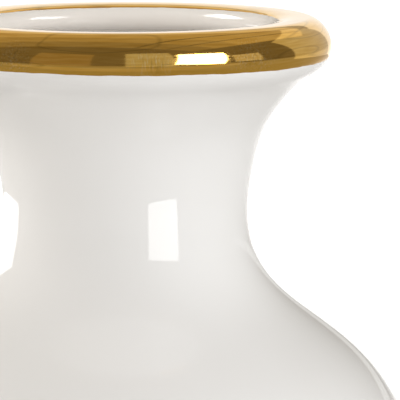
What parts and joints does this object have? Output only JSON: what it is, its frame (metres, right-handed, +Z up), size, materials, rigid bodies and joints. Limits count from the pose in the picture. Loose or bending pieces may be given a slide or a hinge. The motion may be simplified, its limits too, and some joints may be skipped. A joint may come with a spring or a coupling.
{
  "type": "porcelain vase",
  "caption": "White porcelain baluster vase with a flared neck, a thick rolled gilded lip, full shoulders and a gilded foot line.",
  "frame": {"origin": "centre of the foot, on the surface the vase stands on", "axes": "+Z up along the axis of the vase, X and Y across it, with nothing to tell them apart"},
  "size_m": [0.1518, 0.1518, 0.2722],
  "materials": {
    "porcelain": "unglazed hard porcelain, fine and matt, seen only on the standing ring",
    "glaze": "clear glossy glaze over white porcelain",
    "gilding": "burnished gold, brushed on by hand, brass stands in for gold"
  },
  "bodies": {
    "root": {"lip_ring": "porcelain", "neck_section": "porcelain", "shoulder_section": "porcelain", "belly_section": "porcelain", "base_section": "porcelain", "glaze_coat": "glaze", "underside_glaze": "glaze", "lip_gilding": "gilding", "foot_gilding": "gilding"}
  },
  "joints": []
}
